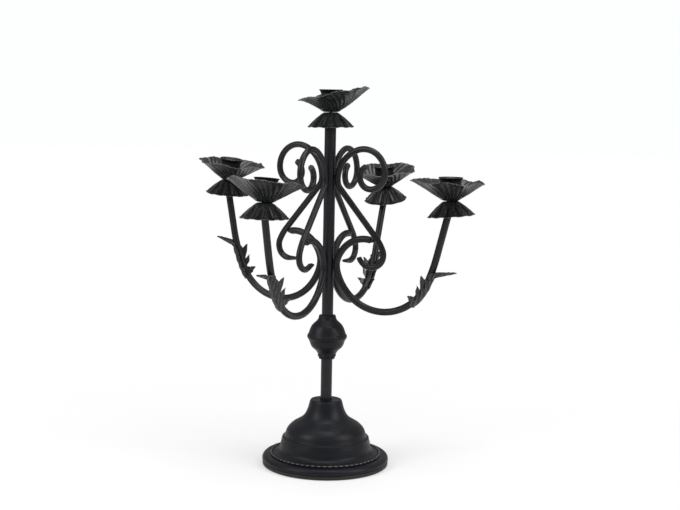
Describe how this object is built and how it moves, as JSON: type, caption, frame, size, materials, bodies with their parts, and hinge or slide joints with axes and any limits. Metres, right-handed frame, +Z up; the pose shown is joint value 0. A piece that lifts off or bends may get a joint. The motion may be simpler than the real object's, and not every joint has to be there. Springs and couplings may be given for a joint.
{
  "type": "table candelabra",
  "caption": "Black painted iron table candelabra with scrolled arms, stamped leaves and flower-shaped holders for taper candles.",
  "frame": {"origin": "centre of the underside of the base plate", "axes": "+Z up along the post; the right front arm leaves the post between +X and -Y"},
  "size_m": [0.3371, 0.3462, 0.4514],
  "materials": {
    "black_paint": "satin",
    "plain_steel": "plain"
  },
  "bodies": {
    "root": {"base_plate": "black_paint", "base_bell": "black_paint", "bead_ring": "black_paint", "base_stud": "plain_steel", "base_nut": "plain_steel", "post_foot_plug": "plain_steel", "post": "black_paint", "post_top_plug": "plain_steel", "knop_lower": "black_paint", "knop_upper": "black_paint", "knop_disc": "plain_steel", "arm_right_front": "black_paint", "scroll_right_front": "black_paint", "leaf_right_front": "black_paint", "skirt_right_front": "black_paint", "pan_right_front": "black_paint", "cup_right_front": "black_paint", "screw_right_front": "black_paint", "arm_left_front": "black_paint", "scroll_left_front": "black_paint", "leaf_left_front": "black_paint", "skirt_left_front": "black_paint", "pan_left_front": "black_paint", "cup_left_front": "black_paint", "screw_left_front": "black_paint", "arm_left_back": "black_paint", "scroll_left_back": "black_paint", "leaf_left_back": "black_paint", "skirt_left_back": "black_paint", "pan_left_back": "black_paint", "cup_left_back": "black_paint", "screw_left_back": "black_paint", "arm_right_back": "black_paint", "scroll_right_back": "black_paint", "leaf_right_back": "black_paint", "skirt_right_back": "black_paint", "pan_right_back": "black_paint", "cup_right_back": "black_paint", "screw_right_back": "black_paint", "skirt_top": "black_paint", "pan_top": "black_paint", "cup_top": "black_paint", "screw_top": "black_paint"}
  },
  "joints": []
}
